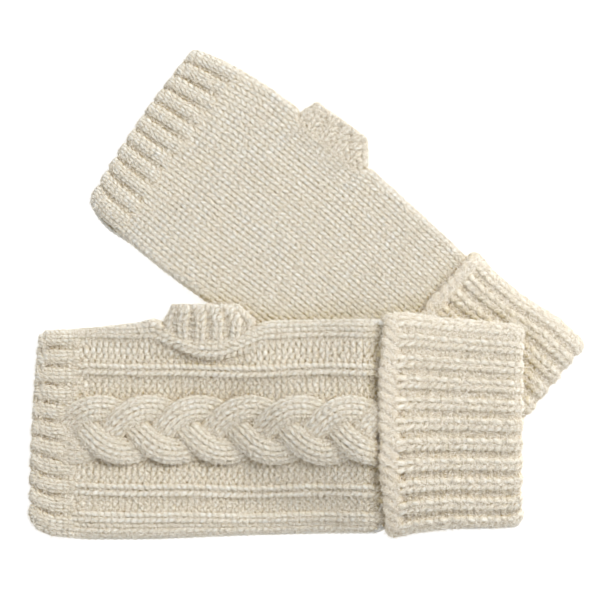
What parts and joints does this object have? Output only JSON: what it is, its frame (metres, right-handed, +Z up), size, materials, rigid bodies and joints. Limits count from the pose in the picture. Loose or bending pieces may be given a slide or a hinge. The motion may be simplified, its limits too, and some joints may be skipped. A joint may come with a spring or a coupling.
{
  "type": "pair of fingerless cable-knit mittens with turned-up cuffs, laid flat",
  "caption": "Cream wool fingerless mittens, laid flat and overlapping: plaited back, plain palm, short thumb tubes and turned-up ribbed cuffs.",
  "frame": {"origin": "centre of the bounding box in plan, at the surface the pair lies on", "axes": "+X from the finger end of the left mitten to its wrist, +Y towards its thumb side, +Z up off the surface"},
  "size_m": [0.2432, 0.2142, 0.0285],
  "materials": {
    "cable_knit": "cream wool yarn, rib, purl valleys and a three-strand plait, matt and slightly fuzzy",
    "stockinette": "cream wool yarn, stockinette with V stitches, matt and slightly fuzzy",
    "plain_knit": "cream wool yarn, plain knit on the side that lies underneath",
    "thumb_knit": "cream wool yarn, single rib, matt",
    "cuff_rib": "cream wool yarn, thick single rib with a chained edge, matt and fuzzy"
  },
  "bodies": {
    "root": {"left_back": "cable_knit", "left_palm": "plain_knit", "left_thumb": "thumb_knit", "left_cuff_back": "cuff_rib", "left_cuff_palm": "cuff_rib", "right_palm": "stockinette", "right_back": "plain_knit", "right_thumb": "thumb_knit", "right_cuff_palm": "cuff_rib", "right_cuff_back": "cuff_rib"}
  },
  "joints": []
}
